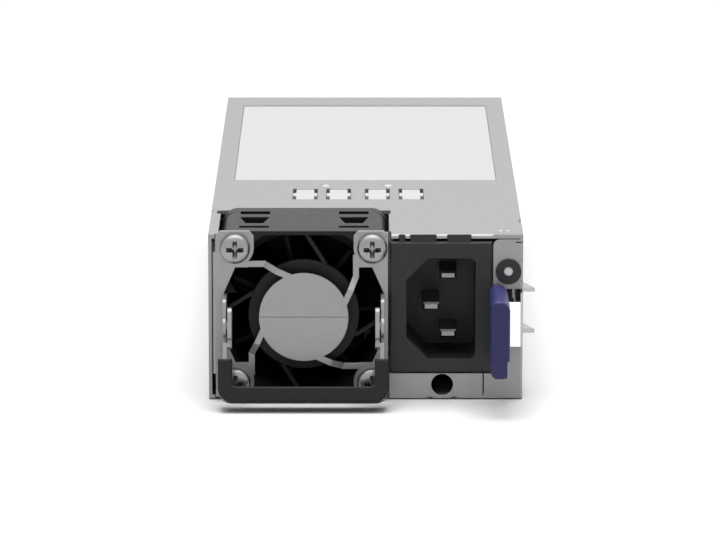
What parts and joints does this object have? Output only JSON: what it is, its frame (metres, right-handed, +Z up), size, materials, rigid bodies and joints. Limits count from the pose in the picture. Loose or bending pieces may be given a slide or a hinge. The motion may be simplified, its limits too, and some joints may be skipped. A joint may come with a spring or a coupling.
{
  "type": "hot swap server power supply",
  "caption": "Slim steel hot swap power supply with a fan, swinging bail handle, mains inlet, status light, side latch with a release tab, and a rear card edge.",
  "frame": {"origin": "on the underside, at the middle of the case's front face", "axes": "+X to the right seen from the front, +Y from the front to the rear (the way it slides in), +Z up"},
  "size_m": [0.0765, 0.2141, 0.04],
  "materials": {
    "steel_sheet": "plain zinc-coated sheet",
    "guard_steel": "plain zinc-coated sheet",
    "spring_steel": "satin spring steel",
    "bright_steel": "bright plated",
    "label_film": "blank pale polyester",
    "white_film": "white insulating film",
    "black_frame": "fine texture",
    "black_rotor": "smooth",
    "black_grip": "fine texture",
    "black_inlet": "fine texture",
    "black_bezel": "smooth",
    "clear_lens": "frosted light guide",
    "violet_tab": "violet-blue moulding",
    "blade_metal": "nickel plated",
    "bronze": "sintered bearing",
    "magnet": "ferrite",
    "board_green": "glass-epoxy board",
    "gold": "gold plated",
    "brass_post": "turned",
    "insulator": "thin sheet",
    "wire": "insulated wire",
    "connector_white": "nylon",
    "yellow_film": "boxed capacitor",
    "blue_disc": "dipped disc",
    "ferrite": "sintered",
    "copper": "enamelled wire",
    "black_part": "moulded body",
    "can_sleeve": "sleeved can",
    "can_metal": "bare can",
    "heat_sink": "plain",
    "tape_yellow": "taped winding",
    "fuse_glass": "ceramic tube"
  },
  "bodies": {
    "case": {"chassis_tray": "steel_sheet", "top_cover": "steel_sheet", "rear_panel": "steel_sheet", "rating_label": "label_film", "cover_rivets": "steel_sheet", "cover_film": "white_film", "fan_guard_plate": "guard_steel", "fan_screws": "bright_steel", "fan_frame": "black_frame", "fan_bearing": "bronze", "fan_stator": "copper", "fan_header": "connector_white", "fan_plug": "connector_white", "fan_lead": "wire", "handle_pivots": "bright_steel", "inlet_housing": "black_inlet", "inlet_blade_line": "blade_metal", "inlet_blade_neutral": "blade_metal", "inlet_blade_earth": "blade_metal", "light_bezel": "black_bezel", "light_lens": "clear_lens", "latch_pocket": "black_inlet", "latch_anchor": "spring_steel", "anchor_rivets": "steel_sheet", "main_board": "board_green", "card_contacts": "gold", "board_standoffs": "brass_post", "board_screws": "bright_steel", "board_insulator": "insulator", "filter_board": "board_green", "mains_fuse": "fuse_glass", "earth_capacitors": "blue_disc", "line_capacitor": "yellow_film", "filter_choke_cores": "ferrite", "filter_choke_windings": "copper", "choke_bases": "black_part", "boost_choke_core": "ferrite", "boost_choke_winding": "copper", "inrush_relay": "black_part", "bulk_capacitors": "can_sleeve", "power_heat_sink": "heat_sink", "power_transistors": "black_part", "bridge_rectifier": "black_part", "transformer_core": "ferrite", "transformer_winding": "tape_yellow", "resonant_choke": "ferrite", "standby_transformer": "tape_yellow", "output_heat_sink": "heat_sink", "output_capacitors": "can_metal", "bus_bars": "copper", "control_board": "board_green", "control_chips": "black_part"},
    "fan_rotor": {"fan_impeller": "black_rotor", "fan_magnet": "magnet", "fan_shaft": "bright_steel"},
    "handle": {"handle_bail": "guard_steel", "handle_grip": "black_grip"},
    "latch": {"latch_leaf": "spring_steel", "release_tab": "violet_tab"}
  },
  "joints": [
    {"name": "fan_spin", "type": "hinge", "parent": "case", "child": "fan_rotor", "pos_m": [-0.01447, 0.013, 0.01995], "axis": [0, 1, 0], "continuous": true},
    {"name": "handle_swing", "type": "hinge", "parent": "case", "child": "handle", "pos_m": [-0.01447, -0.0056, 0.0185], "axis": [-1, 0, 0], "range_deg": [0, 70]},
    {"name": "latch_press", "type": "hinge", "parent": "case", "child": "latch", "pos_m": [0.0364, 0.044, 0.01937], "axis": [0, 0, -1], "range_deg": [0, 5.2], "stiffness_Nm_per_rad": 7}
  ]
}
